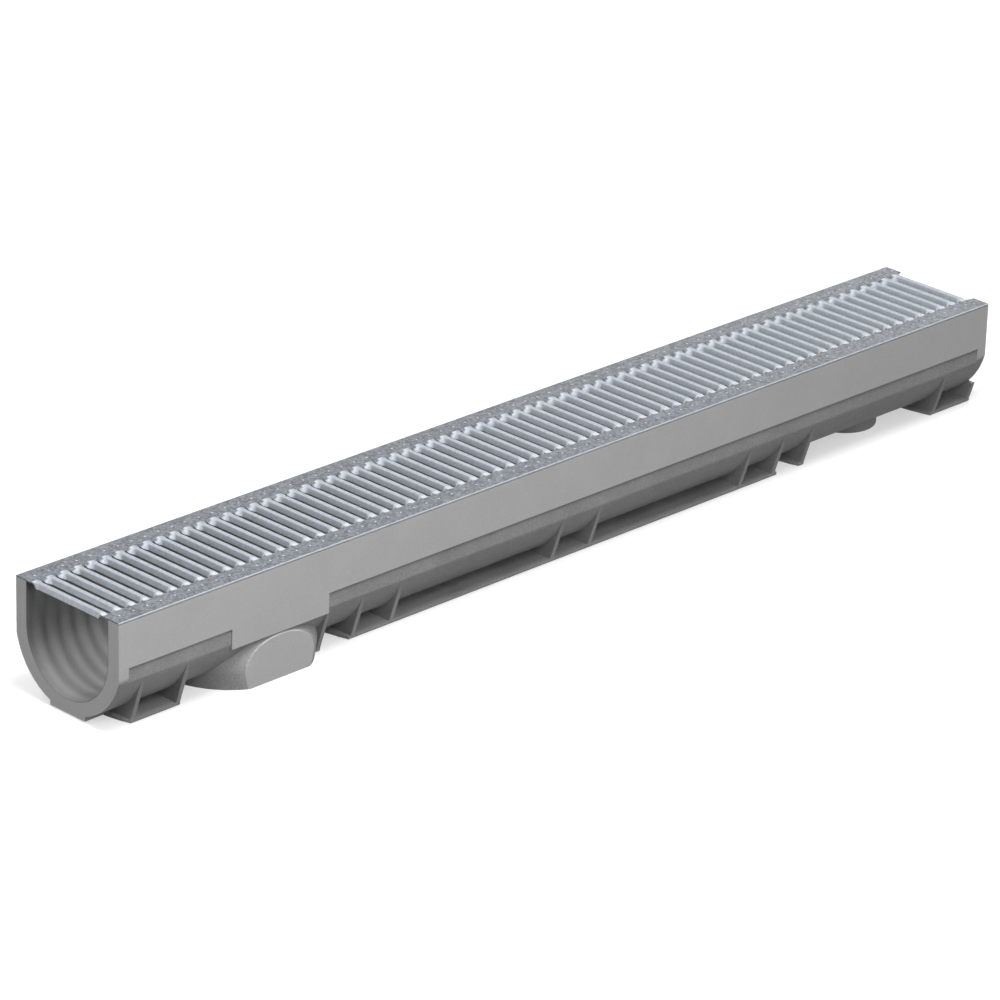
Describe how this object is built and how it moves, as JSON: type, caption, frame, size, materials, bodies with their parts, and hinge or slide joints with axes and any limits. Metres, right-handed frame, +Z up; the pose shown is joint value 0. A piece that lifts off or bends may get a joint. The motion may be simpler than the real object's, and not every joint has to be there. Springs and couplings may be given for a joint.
{
  "type": "channel drain",
  "caption": "Straight drainage channel with a round-bottomed cast trough, feet, a bottom outlet for a pipe, and a slotted steel grating on top.",
  "frame": {"origin": "middle of the underside, where the feet stand", "axes": "+X along the channel, from the outlet end to the far end; +Y across it; +Z up"},
  "size_m": [1, 0.118, 0.0981],
  "materials": {
    "cast_body": "smooth grey casting of resin-bound stone",
    "galvanised_steel": "galvanised, with a fine spangle"
  },
  "bodies": {
    "root": {"channel_body": "cast_body", "grating": "galvanised_steel"}
  },
  "joints": []
}
